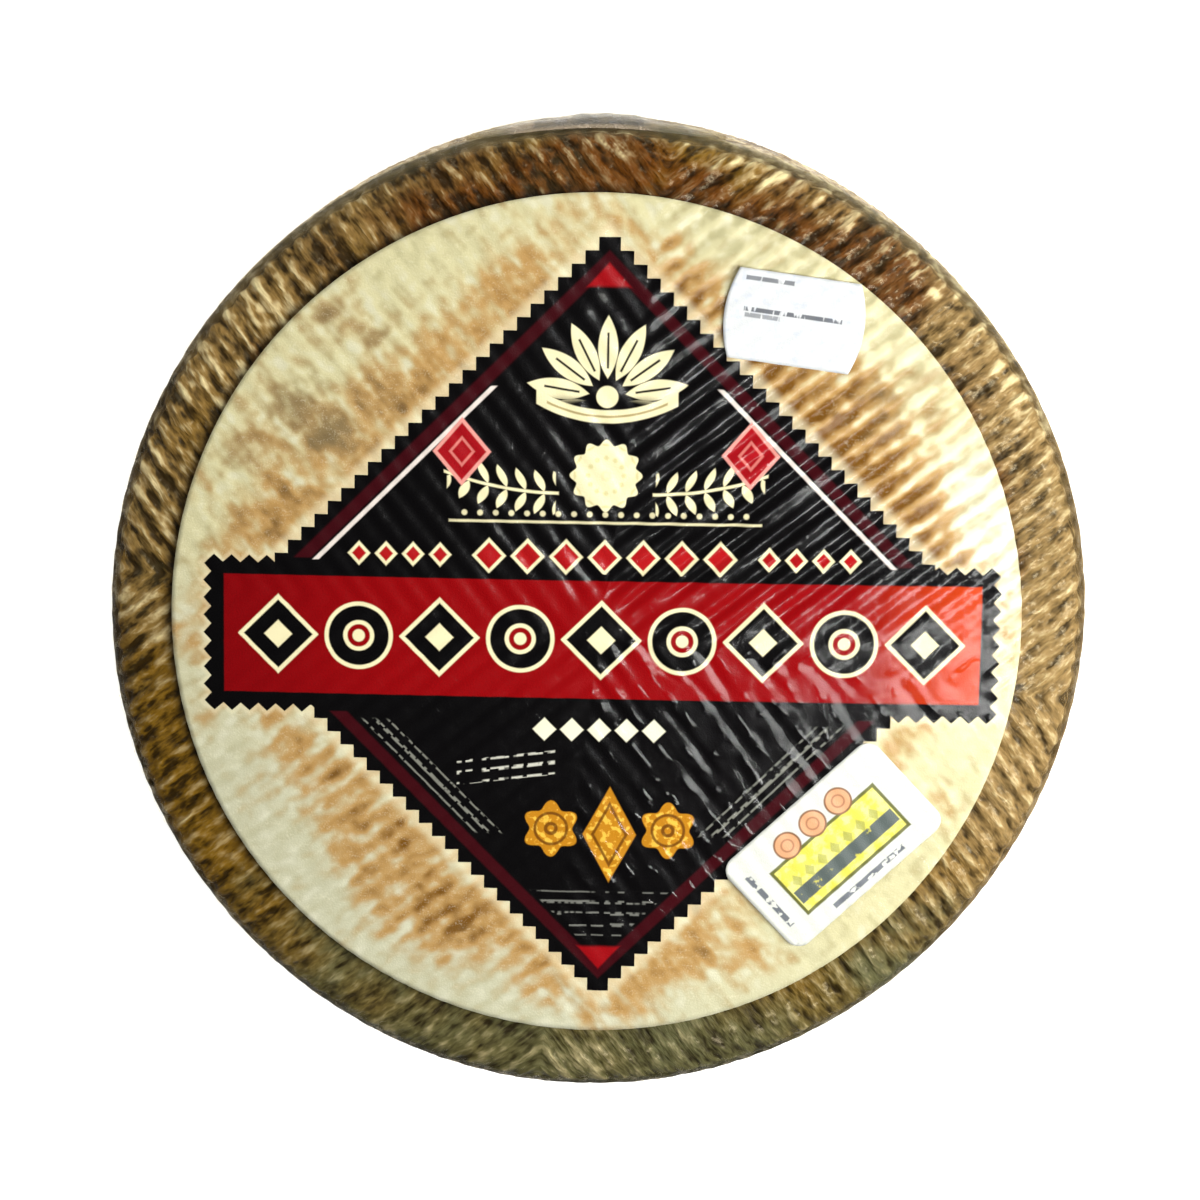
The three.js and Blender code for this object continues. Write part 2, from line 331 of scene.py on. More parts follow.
def newGroup(name, inputs, outputs):
    group = bpy.data.node_groups.new(name, "ShaderNodeTree")
    for socketName, start in inputs.items():
        socket = group.interface.new_socket(name=socketName, in_out="INPUT", socket_type="NodeSocketFloat")
        socket.default_value = start
    for socketName in outputs:
        group.interface.new_socket(name=socketName, in_out="OUTPUT", socket_type="NodeSocketFloat")
    entry = addNode(group, "NodeGroupInput")
    ending = addNode(group, "NodeGroupOutput")
    return group, {key: Field(group, entry.outputs[key]) for key in inputs}, ending


def useGroup(tree, group, **values):
    node = addNode(tree, "ShaderNodeGroup", node_tree=group)
    for key, value in values.items():
        join(tree, node.inputs[key], value)
    return {socket.name: Field(tree, socket) for socket in node.outputs}


def millimetres(tree, centre=(0, 0), turn=0.0):
    # x, y and z on the object in millimetres, about a centre and turned clockwise by some degrees
    coordinates = addNode(tree, "ShaderNodeTexCoord").outputs["Object"]
    scaled = addNode(tree, "ShaderNodeVectorMath", {0: coordinates, "Scale": 1000.0}, operation="SCALE")
    moved = addNode(tree, "ShaderNodeVectorMath", {0: scaled.outputs[0], 1: (*centre, 0)}, operation="SUBTRACT")
    turned = addNode(tree, "ShaderNodeVectorRotate", {"Vector": moved.outputs[0], "Angle": math.radians(turn)},
                     rotation_type="Z_AXIS")
    return splitVector(tree, turned.outputs[0])


def hypotenuse(x, y):
    return x.math("SQRT", x * x + y * y)


def cloud(tree, x, y, z, detail=2.0, roughness=0.5):
    # noise from 0 to 1 whose features are about one unit of its coordinates
    vector = addNode(tree, "ShaderNodeCombineXYZ", {0: x, 1: y, 2: z})
    made = addNode(tree, "ShaderNodeTexNoise", {"Vector": vector.outputs[0], "Scale": 1.0, "Detail": detail,
                                                "Roughness": roughness})
    return Field(tree, made.outputs[0])


def bump(tree, height, distance, strength):
    made = addNode(tree, "ShaderNodeBump", {"Height": height, "Distance": distance, "Strength": strength})
    return made.outputs[0]


def splitVector(tree, vector):
    return [Field(tree, socket) for socket in addNode(tree, "ShaderNodeSeparateXYZ", {0: vector}).outputs]


# ---- effects that several materials share

def makeRidgeGroup():
    # Crest is 1 on the crests of the face's ridges and 0 in their grooves. Stroke is noise drawn out
    # along the ridges, as a brush or a wear mark would be.
    group, given, ending = newGroup(
        "ridge pattern", {"Stroke Width": 1.7, "Stroke Length": 9.0}, ("Crest", "Stroke"))
    a, b = millimetres(group, wheel["ridgeCentre"], -wheel["ridgeTurn"])[:2]
    across = (abs(b) - abs(a)) * math.sqrt(0.5)
    along = (abs(a) + abs(b)) * math.sqrt(0.5)
    turns = across * (2 * math.pi / wheel["ridgePitch"])
    stroke = cloud(group, across / given["Stroke Width"], along / given["Stroke Length"],
                   (a + b * 2) * 0.06, 1.0, 0.55)
    join(group, ending.inputs["Crest"], turns.math("COSINE", turns) * 0.5 + 0.5)
    join(group, ending.inputs["Stroke"], stroke)
    return group


def makePaperGroup():
    # fibres and tooth of printed paper
    group, given, ending = newGroup("paper grain", {"Fibre Size": 0.35}, ("Tone", "Height"))
    x, y, z = millimetres(group)
    size = given["Fibre Size"]
    tooth = cloud(group, x / size, y / size, z / size, 1.0, 0.6)
    flecks = cloud(group, x / (size * 7), y / (size * 3), z / (size * 5), 1.0)
    join(group, ending.inputs["Tone"], tooth * 0.6 + flecks * 0.4)
    join(group, ending.inputs["Height"], tooth)
    return group


def makeCreaseGroup():
    # thin creases and slack in clear film
    group, given, ending = newGroup("film creases", {"Crease Size": 9.0}, ("Crease", "Slack"))
    x, y, z = millimetres(group)
    size = given["Crease Size"]
    slack = cloud(group, x / (size * 0.5), y / (size * 0.5), z / (size * 0.5), 1.0)
    warp = (slack - 0.5) * 1.2
    line = cloud(group, x / size + warp, y / (size * 1.6) - warp, z / size + warp, 1.0)
    join(group, ending.inputs["Crease"], abs(line - 0.5).ramp(0.035, 0.0))
    join(group, ending.inputs["Slack"], slack)
    return group


ridgeGroup = makeRidgeGroup()
paperGroup = makePaperGroup()
creaseGroup = makeCreaseGroup()
print("shared effects made")


# ---- the cheese

rind = {
    "steps": 480,           # round the faces; the rim gets twice as many
    "depth": 1.0,
    "plaitDepth": 0.65,
    "narrow": 0.95,         # above 1 makes the grooves narrower than the crests
    "wander": 0.13,         # how far the ridges stray, in ridges
    "uneven": 0.35,
    "strands": 0.16,        # finer ridges on the ridges
    "weft": 0.2,            # marks of the strands that cross them
    "weftPitch": 3.1,
    "hiddenSink": 1.0,      # the plain part under the label
    "lumps": 0.3,
    "fibre": 0.26,
    "pits": 0.25,
    "sunk": 0.12,           # the roughness stays under the film
    "golden": (150, 122, 76),
    "brown": (120, 88, 22),
    "olive": (90, 86, 53),
    "russet": (100, 52, 6),
    "deep": (24, 14, 2),
    "pale": (232, 212, 160),
}


def cheeseRind():
    blank = lathe([
        (0, 0, 2),
        (wheel["restFlat"] - 2, 0, 46),
        (faceRadius, 0, 8),
        (wheel["rimRadius"], wallLow, 27),
        (wheel["rimRadius"], wallHigh, 11),
        (faceRadius, wallHigh + wheel["shoulder"], 20),
        (77.5, wallHigh + wheel["shoulder"], 4),
        (0, wallHigh + wheel["shoulder"], 0),
    ], rind["steps"])
    refineRim(blank, 77, lambda place: place.z > 0.5)
    skin = WheelSkin(blank)
    crests = skin.points()
    plaitPitch = 2 * columnAngle * wheel["rimRadius"]
    grain = np.stack([skin.across * (1 - skin.onWall) + skin.plait * plaitPitch * skin.onWall,
                      skin.along * (1 - skin.onWall), skin.height], axis=1)
    wander = rind["wander"] * (roughness(crests, (8, 8, 8)) + 0.5 * roughness(crests, (3, 3, 3), 3.0))
    ridges = skin.ridges(rind["narrow"], wander)
    strands = skin.ridges(1.0, wander + 0.5 * ridges)
    lengthwise = skin.along * (1 - skin.onWall) + skin.height * skin.onWall
    weft = 0.5 + 0.5 * np.cos(2 * math.pi * (lengthwise / rind["weftPitch"] + grain[:, 0] / wheel["ridgePitch"]
                                             + 0.5 * roughness(crests, (5, 5, 5), 57.0)))
    # the ridges are worn and rough towards the front, where mould has grown
    worn = 1 - 0.5 * smoothStep(-skin.y, 50, 88) * (1 - skin.onWall)
    depth = ridgeDepth(skin, rind["depth"], rind["plaitDepth"]) * worn
    depth *= np.clip(1 + rind["uneven"] * roughness(grain, (4, 6, 8), 5.0), 0.2, 1.6)
    flat = np.where(skin.upper, 1, smoothStep(skin.radius, wheel["restFlat"], wheel["restFlat"] + 2))
    fibre = roughness(grain, (1.0, 5.0, 6.0), 11.0) * 0.7 + roughness(crests, (1.3, 1.3, 1.3), 17.0) * 0.3
    lumps = 0.5 * roughness(crests, (9, 9, 9), 23.0) + roughness(grain, (2.4, 7.0, 7.0), 27.0)
    pits = smoothStep(roughness(grain, (1.3, 4.0, 4.0), 31.0), 0.25, 0.6)
    rough = rind["strands"] * (1 - strands) + rind["weft"] * (1 - weft) * ridges + pits * rind["pits"]
    rough += -fibre * rind["fibre"] - np.minimum(lumps, 0.3) * rind["lumps"]
    pressed = smoothStep(skin.bend, math.radians(60), math.radians(80))
    pressed = pressed * smoothStep(skin.height, wallHigh - 20, wallHigh)
    sink = depth * (1 - ridges) * (1 - 0.5 * pressed) + rough * (1 - 0.7 * pressed) + rind["sunk"]
    sink = np.maximum(sink, -0.05) * flat * (1 - 0.25 * skin.onWall)
    hidden = np.where(skin.upper, smoothStep(skin.radius, 79.5, 77.6), 0)
    movePlaces(blank, skin.points(-(sink * (1 - hidden) + rind["hiddenSink"] * hidden)))
    # the material reads how light a spot is, and its place across and along the ridges; how light a spot is
    # holds the rind's own tone and, from the ridges, painted highlight on the crests and painted shade in the
    # grooves and pits
    calm = smoothStep(np.cos(skin.angle + math.radians(110)), 0.4, 0.95)
    even = 1 - 0.75 * smoothStep(np.cos(skin.angle + math.radians(20)), 0.6, 0.9)
    even += 0.25 * smoothStep(-np.cos(skin.angle - math.radians(45)), 0, 0.5)
    # painted ridge shading, weaker on the right and behind, where the lamps light the ridges
    lit = 1 - 0.45 * smoothStep(np.cos(skin.angle + math.radians(12)), 0, 0.85)
    lit *= 1 - 0.3 * smoothStep(np.cos(skin.angle - math.radians(95)), 0.3, 0.9)
    crestToneAndShading = ridges ** 2 - 0.38
    texture = 0.62 * crestToneAndShading * lit * worn + 0.16 * (strands - 0.5) + 0.08 * (weft - 0.5)
    texture += even * 0.22 * roughness(grain, (2.2, 12, 12), 51.0)
    texture += even * 0.36 * roughness(crests, (10, 10, 10), 53.0)
    texture += even * 0.16 * lumps - 0.16 * pits * np.minimum(even, 1) + 0.3 * fibre
    # painted glints: pale streaks behind on the right, near the outer edge, and fainter ones behind on the left
    paintedGlints = smoothStep(roughness(grain, (1.5, 6, 6), 71.0), 0.05, 0.4)
    outer = smoothStep(skin.radius, 87, 90.5) * smoothStep(np.cos(skin.angle - math.radians(58)), 0.75, 0.93)
    leftSide = 0.45 * smoothStep(np.cos(skin.angle - math.radians(148)), 0.85, 0.97)
    relief = 0.49 + texture * (1 - 0.25 * calm) + 0.75 * paintedGlints * np.maximum(outer, leftSide)
    finishPiece(blank, "cheeseRind", [rindMaterial()], "cheese_wheel",
                {"relief": relief, "weave": grain})


def rindMaterial():
    material, tree, output = newMaterial("cured rind")
    x, y, z = millimetres(tree)
    relief = Field(tree, addNode(tree, "ShaderNodeAttribute", attribute_name="relief").outputs["Fac"])
    weave = addNode(tree, "ShaderNodeAttribute", attribute_name="weave")
    across, along, level = splitVector(tree, weave.outputs["Vector"])
    fibres = cloud(tree, across * 1.2, along * 0.3, level * 0.3, 2.0, 0.6)
    patches = cloud(tree, x * 0.05, y * 0.05, z * 0.05, 2.0, 0.6)
    specks = cloud(tree, across * 0.62, along * 0.25, level * 0.25 + 40.0, 1.0, 0.8)
    # broad fields of colour round the wheel: golden on the right, olive in front, russet behind
    reach = hypotenuse(x, y)
    golden = (x * 0.0125 + y * 0.003 + patches * 0.8).ramp(0.75, 1.35)
    lightLeft = (y * 0.009 - x * 0.009 + patches * 0.9).ramp(1.1, 1.6)
    olive = (y * -0.0125 + patches * 0.8).ramp(0.95, 1.5)
    russet = (y * 0.009 + x * 0.002 + patches * 1.4 - reach * 0.04).ramp(-2.32, -1.92)
    body = Painting(tree, rind["brown"])
    body.paint(rind["golden"], golden.most(lightLeft * 0.6))
    body.paint(rind["olive"], olive)
    body.paint(rind["russet"], russet * 0.9)
    # the tone runs from painted shade deep in the grooves and pits, through the rind's colour, to pale crests
    # that are partly the rind's own colour and partly painted highlight
    skin = Painting(tree, blend(tree, body.colour, tint(*rind["deep"]), 0.9))
    pale = blend(tree, body.colour, tint(*rind["pale"]), golden.most(lightLeft) * 0.5 + 0.28 - russet * 0.2)
    tone = relief + (fibres - 0.5) * 1.2 + (specks - 0.5) * (1.4 - golden * 0.5) - russet * 0.16
    skin.paint(body.colour, tone.ramp(-0.1, 0.62))
    skin.paint(pale, tone.ramp(0.5, 1.15))
    # painted glints where the tone is highest
    skin.paint((238, 222, 166), tone.ramp(1.0, 1.5) * 0.8)
    mould = (specks * 0.5 + patches * 0.7).ramp(0.62, 0.76)
    skin.paint((92, 92, 62), mould * (olive * 0.35 + 0.1))
    # painted reflection of the film: a grey sheen on the outer edge behind
    paintedBackSheen = reach.ramp(91.5, 94.5) * z.ramp(80, 90) * (y * 0.0105).ramp(0.35, 0.9)
    skin.paint((150, 144, 112), paintedBackSheen * 0.5)
    # painted shade: the outer edge darker on the left and in front
    outer = reach.ramp(92.2, 94.8) * z.ramp(80, 90) * (x * -0.008 - y * 0.006 + 0.35)
    # painted shadow of the label's edge on the rind, behind on the left
    paintedLabelShadow = reach.ramp(84.4, 82.4) * (y * 0.02 - x * 0.02).ramp(-0.6, 0.9) * z.ramp(80, 90)
    skin.paint((40, 34, 20), outer.ramp(0, 1, 0, 0.6).most(paintedLabelShadow * 0.45))
    surface = addNode(tree, "ShaderNodeBsdfPrincipled", {
        "Base Color": skin.colour,
        "Roughness": fibres.ramp(0.3, 0.7, 0.42, 0.62),
        "Specular IOR Level": 0.06,
        "Normal": bump(tree, specks * 1.5 + fibres, 0.0006, 0.9),
    })
    join(tree, output.inputs[0], surface.outputs[0])
    return material


# ---- the paper label

label = {
    "radius": 82,
    "steps": 480,
    "rings": 86,
    "thickness": 0.25,
    "narrow": 1.15,
    "mottled": 0.55,        # mottling round the diamond
    "stains": (             # x, y, radius, strength, and from 0 golden to 1 grey
        (-51, 37, 6, 0.8, 1), (-57, 41, 8, 0.6, 1), (-41, 43, 7, 0.6, 0.6), (-30, 46, 8, 0.6, 0.3),
        (-14, 62, 9, 0.6, 0.1), (-67, 33, 7, 0.4, 1), (-50, 59, 5, 0.6, 1), (-42, 54, 5, 0.5, 1),
        (-66, 19, 10, 0.5, 0.4), (-57, 26, 7, 0.4, 0.5),
        (16, 60, 9, 0.8, 0), (31, 45, 10, 1.0, 0), (42, 38, 11, 1.1, 0), (52, 29, 10, 1.0, 0.1),
        (61, 20, 8, 0.7, 0), (57, 42, 10, 0.5, 0.7), (64, 11, 4, 0.7, 0.1),
        (-60, -26, 9, 0.3, 0), (-54, -34, 8, 0.35, 0), (-48, -42, 8, 0.6, 0), (-41, -49, 8, 0.7, 0),
        (-44, -55, 5, 0.5, 0.4), (-34, -57, 9, 0.7, 0.1), (-27, -61, 8, 0.8, 0.2), (-13, -69, 6, 0.5, 0),
        (19, -67, 6, 0.9, 0.2), (30, -66, 6, 0.6, 0), (8, -75, 7, 0.4, 0), (66, -36, 5, 0.5, 0),
    ),
    "centre": (1.5, -0.1),  # middle of the print
    "diamond": 73.7,        # from its middle to a corner of the diamond
    "bandLeft": 0.4,        # the band's middle lies this far left of the print's, and this far below
    "bandLow": 3.5,
    "turn": 0.95,           # the print lies turned clockwise by this much
    "cream": (205, 198, 155),
    "cool": (194, 192, 164),
    "lit": (226, 216, 172),
    "tan": (182, 144, 88),
    "brown": (116, 76, 22),
    "smoke": (116, 104, 76),
    "black": (4, 3, 4),
    "red": (140, 2, 7),
    "redPaintedGlare": (198, 62, 12),
    "maroon": (58, 6, 14),
    "ink": (238, 228, 184),
    "rule": (226, 214, 206),
    "gold": (188, 126, 26),
}


def slack(points):
    # the paper and the film over it share these small waves
    return 0.06 * roughness(points, (11, 11, 11), 41.0) + 0.04 * roughness(points, (4, 4, 4), 47.0)


def paperDips(x, y):
    # the paper has sunk furthest into the grooves at the upper right, and least on the left
    across, along = alongRidges(x, y)
    share = 0.36 + 0.64 * smoothStep(x, -12, 22) * smoothStep(y, -30, 12)
    share = share * smoothStep(np.hypot(x, y), 4, 7)
    flat = np.stack([across, along, np.zeros_like(x)], axis=1)
    broken = roughness(flat, (4, 10, 1), 81.0)
    front = smoothStep(x, -5, 15) * smoothStep(-y, -5, 15)
    share = share * np.clip(1 + 0.9 * broken, 0.4, 1.25) * (1 - front) \
        + share * np.clip(0.15 + 1.7 * broken, 0, 0.9) * front
    return labelDip * share * (1 - ridgeProfile(across / wheel["ridgePitch"], label["narrow"]))


def stainFields(points):
    # how brown the paper is, how grey the brown, and how cool the cream, as broad fields
    x = points[:, 0] + 2 * roughness(points, (6, 6, 6), 91.0)
    y = points[:, 1] + 2 * roughness(points, (6, 6, 6), 93.0)
    outside = (np.abs(x) + np.abs(y) - label["diamond"]) * math.sqrt(0.5)
    brown = label["mottled"] * smoothStep(outside, 14, 5)
    grey = np.zeros_like(x)
    for placeX, placeY, radius, strength, greyness in label["stains"]:
        spot = strength * np.exp(-((x - placeX) ** 2 + (y - placeY) ** 2) / radius ** 2)
        brown = brown + spot * (1 - 0.6 * brown)
        grey = np.maximum(grey, spot * greyness)
    brown = brown + 0.3 * roughness(points, (9, 9, 9), 95.0) * smoothStep(x - y, 70, 10)
    cool = smoothStep(-y * 0.7 - x * 0.45 + 6 * roughness(points, (15, 15, 15), 97.0), 12, 62)
    return np.stack([brown, grey, cool], axis=1)


def paperLabel():
    top = wheel["height"]
    blank = lathe([(0, top, label["rings"]), (label["radius"], top, 0)], label["steps"])
    points = places(blank)
    radius = np.hypot(points[:, 0], points[:, 1])
    points[:, 2] = crestHeight(radius) + labelTop - paperDips(points[:, 0], points[:, 1]) + slack(points)
    movePlaces(blank, points)
    for face in blank.faces:
        if face.normal.z < 0:
            face.normal_flip()
    bmesh.ops.solidify(blank, geom=blank.faces[:], thickness=label["thickness"])
    bmesh.ops.recalc_face_normals(blank, faces=blank.faces)
    for face in blank.faces:
        face.material_index = printRegion(face)
    materials = [labelMaterial(name, ornament) for name, ornament in (
        ("label paper", None), ("label print above", upperOrnament),
        ("label print band", bandOrnament), ("label print below", lowerOrnament))]
    finishPiece(blank, "paperLabel", materials, "paper_label",
                {"stains": stainFields(places(blank))})


def printRegion(face):
    # each part of the print has a material of its own, so that none of them is slow
    if face.normal.z < 0.3:
        return 0
    turn = math.radians(label["turn"])
    place = face.calc_center_median()
    x, y = place.x - label["centre"][0], place.y - label["centre"][1]
    x, y = x * math.cos(turn) - y * math.sin(turn), x * math.sin(turn) + y * math.cos(turn)
    bandY = y + label["bandLow"]
    if abs(bandY) < 12.6:
        return 2
    if abs(x) + abs(y) > 81 and abs(bandY) > 19:
        return 0
    return 1 if bandY > 0 else 3


def lozenge(x, y, halfWide, halfHigh):
    # distance to a lozenge's edge, negative inside
    scale = 1 / math.hypot(halfWide, halfHigh)
    return (abs(x) * halfHigh + abs(y) * halfWide - halfWide * halfHigh) * scale


def bar(x, y, halfWide, halfHigh):
    return (abs(x) - halfWide).most(abs(y) - halfHigh)


def filled(distance, soft=0.16):
    return distance.ramp(soft, -soft)


def paperSurface(tree, output, art, grain, roughest, shine, tooth):
    surface = addNode(tree, "ShaderNodeBsdfPrincipled", {
        "Base Color": art.colour,
        "Roughness": grain["Tone"].ramp(0.2, 0.8, *roughest),
        "Specular IOR Level": shine,
        "Normal": bump(tree, grain["Height"], tooth, 0.5),
    })
    join(tree, output.inputs[0], surface.outputs[0])


def labelMaterial(name, ornament):
    material, tree, output = newMaterial(name)
    x, y = millimetres(tree, label["centre"], label["turn"])[:2]
    grain = useGroup(tree, paperGroup, **{"Fibre Size": 0.35})
    art = Painting(tree, labelGround(tree, x, y, grain))
    if ornament:
        inset = (label["diamond"] - abs(x) - abs(y)) * math.sqrt(0.5)
        blackShapes(x, y, art.paint, inset)
        ornament(art, x, y, inset)
    paperSurface(tree, output, art, grain, (0.52, 0.7), 0.02, 0.00015)
    return material


def labelGround(tree, x, y, grain):
    # aged cream paper, its stains broken up into dabs that follow the ridges
    fields = addNode(tree, "ShaderNodeAttribute", attribute_name="stains")
    brown, grey, cool = splitVector(tree, fields.outputs["Vector"])
    pattern = useGroup(tree, ridgeGroup, **{"Stroke Width": 2.6, "Stroke Length": 7.0})
    mottle = cloud(tree, x * 0.28, y * 0.28, 9.0, 1.0, 0.6)
    dabs = (pattern["Stroke"] - 0.5) * 2.0 + (mottle - 0.5) * 2.0
    # painted shade in the paper's grooves, at the upper right and fainter at the lower left
    ridged = (x.ramp(0, 20) * y.ramp(-10, 10)).most(x.ramp(0, -20) * y.ramp(0, -20) * 0.6)
    paintedGrooveShade = (1 - pattern["Crest"]) * ridged
    ground = Painting(tree, label["cream"])
    ground.paint(label["cool"], cool)
    # painted light: the cream lighter towards the right
    ground.paint(label["lit"], x.ramp(10, 60) * y.ramp(-40, 0))
    # painted highlight: a near white patch by the right edge
    ground.paint((236, 234, 206), x.ramp(54, 72) * y.ramp(-8, 8) * y.ramp(40, 26))
    ground.paint((218, 216, 194), dabs.ramp(-0.1, -0.8) * 0.5)
    ground.paint((160, 154, 114), (dabs + grey * 0.7 + paintedGrooveShade * 0.7).ramp(-0.1, 0.8) * (0.6 - cool * 0.3))
    # the stains are partly browner in the grooves, as painted shade, and lighter on the crests
    stain = brown + dabs * (0.4 + brown * 0.45) + (paintedGrooveShade - ridged * 0.35) * brown
    warm = Painting(tree, label["tan"])
    warm.paint(label["brown"], stain.ramp(0.75, 1.8))
    warm.paint(label["smoke"], (grey + dabs * 0.3).ramp(0.1, 0.8) * 0.75)
    ground.paint(warm.colour, stain.ramp(0.05, 0.95))
    ground.paint((250, 244, 214), grain["Tone"].ramp(0.5, 0.75) * 0.2)
    return ground.colour


def blackShapes(x, y, paint, inset):
    # the black diamond with a stepped edge
    step = 2.56
    stairs = ((abs(x) + 0.5) * (1 / step)).math("FLOOR", (abs(x) + 0.5) * (1 / step)) \
        + ((abs(y) + 0.5) * (1 / step)).math("FLOOR", (abs(y) + 0.5) * (1 / step))
    diamond = stairs.math("LESS_THAN", stairs, 28.5)
    # the band with a toothed edge and cut corners
    bandX, bandY = x + label["bandLeft"], y + label["bandLow"]
    teeth = lambda place: abs(place.repeat(3.4)) * (1.5 / 1.7)
    cut = (abs(bandX) + abs(bandY) - 90.2) * math.sqrt(0.5)
    bandEdge = (abs(bandX) - 76.9 + teeth(bandY)).most(abs(bandY) - 15.3 + teeth(bandX)).most(cut)
    halo = (abs(inset).ramp(3.4, 1.2) * 0.75).most(bandEdge.ramp(1.6, 0.4) * 0.6)
    paint((244, 236, 200), halo * 0.55)
    paint(label["black"], diamond.most(filled(bandEdge, 0.1)))
    outOfBand = 1 - filled(abs(bandY) - 15.0, 0.2)
    paint(label["maroon"], filled(abs(inset - 2.9) - 1.15, 0.3) * outOfBand)


def bandOrnament(art, x, y, inset):
    paint = art.paint
    bandX, bandY = x + label["bandLeft"], y + label["bandLow"]
    bandShape = filled(bar(bandX - 0.1, bandY, 73, 11.5))
    paint(label["red"], bandShape)
    # painted shade: the red darker towards its left end
    paint((92, 0, 6), bandShape * bandX.ramp(-36, -76) * 0.35)
    # painted glare: the red turns orange towards its right end
    paint(label["redPaintedGlare"], bandShape * bandX.ramp(46, 76))
    # a chain of hollow lozenges and rings along the band
    pitch = 15.6
    cell = (bandX + pitch / 2).math("FLOOR", (bandX + pitch / 2) / pitch)
    odd = abs(cell.math("MODULO", cell, 2.0))
    cellX = bandX.repeat(pitch)
    diamondLink = abs(lozenge(cellX, bandY, 7.4, 7.4) + 1.9) - 1.75
    ringLink = abs(hypotenuse(cellX, bandY) - 4.4) - 1.75
    link = diamondLink * (1 - odd) + ringLink * odd
    inChain = filled(abs(bandX) - pitch * 4.5)
    paint(label["ink"], filled(link - 0.45) * inChain)
    paint(label["black"], filled(link + 0.35) * inChain)
    middle = hypotenuse(cellX, bandY) * odd + lozenge(cellX, bandY, 2.0, 2.0) * (1 - odd) + 1.2 * (1 - odd)
    paint(label["ink"], filled(middle - 1.2) * inChain)


def upperOrnament(art, x, y, inset):
    paint = art.paint
    paint(label["rule"], filled(abs(inset - 4.9) - 0.42) * filled(abs(y - 28.2) - 17.0))
    # a red dart at the top
    paint((150, 10, 18), filled((abs(x) * 1.1 + y - 68.9).most(64.4 - y) * 0.7, 0.3))

    # small lozenges above the band, wider in the middle
    rowY = y - 12.6
    big = lozenge(x.repeat(7.4), rowY, 3.3, 3.5).most(abs(x) - 25.9)
    sides = lozenge((abs(x) - 31.6).repeat(5.2), rowY, 2.2, 2.4).most(abs(abs(x) - 39.4) - 10.4)
    row = big.least(sides)
    paint(label["ink"], filled(row))
    paint((168, 18, 22), filled(row + 0.62))

    # a fan of leaves over a curved bar
    fanX, fanY = x, y - 43.5
    reach = hypotenuse(fanX, fanY)
    turn = fanX.math("ARCTAN2", fanX, fanY)
    leafTurn = turn.repeat(math.radians(27))
    leaf = abs(leafTurn * reach) - 1.9 * (1 - ((reach - 9.5) * (1 / 6.0)) ** 2)
    leaf = leaf.most(abs(turn) - math.radians(94))
    paint(label["ink"], filled(leaf))
    vein = abs(leafTurn * reach) - 0.22
    paint(label["black"], filled(vein.most(abs(reach - 8.8) - 3.4).most(abs(turn) - math.radians(94))))
    paint(label["ink"], filled(reach - 2.1))
    collar = (abs(hypotenuse(x, y - 66.0) - 26.3) - 1.25).most(abs(x) - 13.5)
    paint(label["ink"], filled(collar))
    paint((150, 128, 70), filled((abs(hypotenuse(x, y - 66.0) - 26.3) - 0.22).most(abs(x) - 11.5)) * 0.8)

    # a rosette between two leafy sprigs
    bloomY = y - 28.4
    bloomReach = hypotenuse(x, bloomY)
    bloomTurn = x.math("ARCTAN2", x, bloomY)
    petals = bloomTurn.math("COSINE", bloomTurn * 12.0)
    paint(label["ink"], filled(bloomReach - 6.4 - petals * 0.55))
    inner = bloomTurn.math("COSINE", bloomTurn * 12.0) * 0.5 + bloomReach.math("SINE", bloomReach * 2.3)
    paint((214, 204, 146), inner.ramp(0.5, 1.3) * filled(bloomReach - 6.2) * 0.8)
    stemX = abs(x) - 9.0
    stemY = bloomY + 3.5 - stemX * stemX * 0.008
    stem = (abs(stemY) - 0.28).most(abs(stemX - 11.0) - 11.0)
    sprigU = stemX.repeat(3.6)
    sprigLeaf = (abs(sprigU - abs(stemY) * 0.45 + 0.9) - 0.85 * (1 - ((abs(stemY) - 2.2) * (1 / 2.0)) ** 2))
    sprigLeaf = sprigLeaf.most(abs(stemX - 11.0) - 10.4)
    paint(label["ink"], filled(stem.least(sprigLeaf)))
    base = (abs(y - 19.3) - 0.25).most(abs(x) - 30.0)
    beads = hypotenuse(x.repeat(3.0), y - 20.9) - 0.55
    paint(label["ink"], filled(base.least(beads.most(abs(x) - 28.6))) * 0.8)

    # two red lozenges set in cream
    gem = lozenge(abs(x) - 27.6, y - 32.6, 5.6, 6.6)
    paint((226, 150, 140), filled(gem))
    paint((158, 14, 24), filled(gem + 0.7))
    paint((214, 120, 112), filled(abs(lozenge(abs(x) - 27.6, y - 32.6, 2.2, 2.6)) - 0.25))


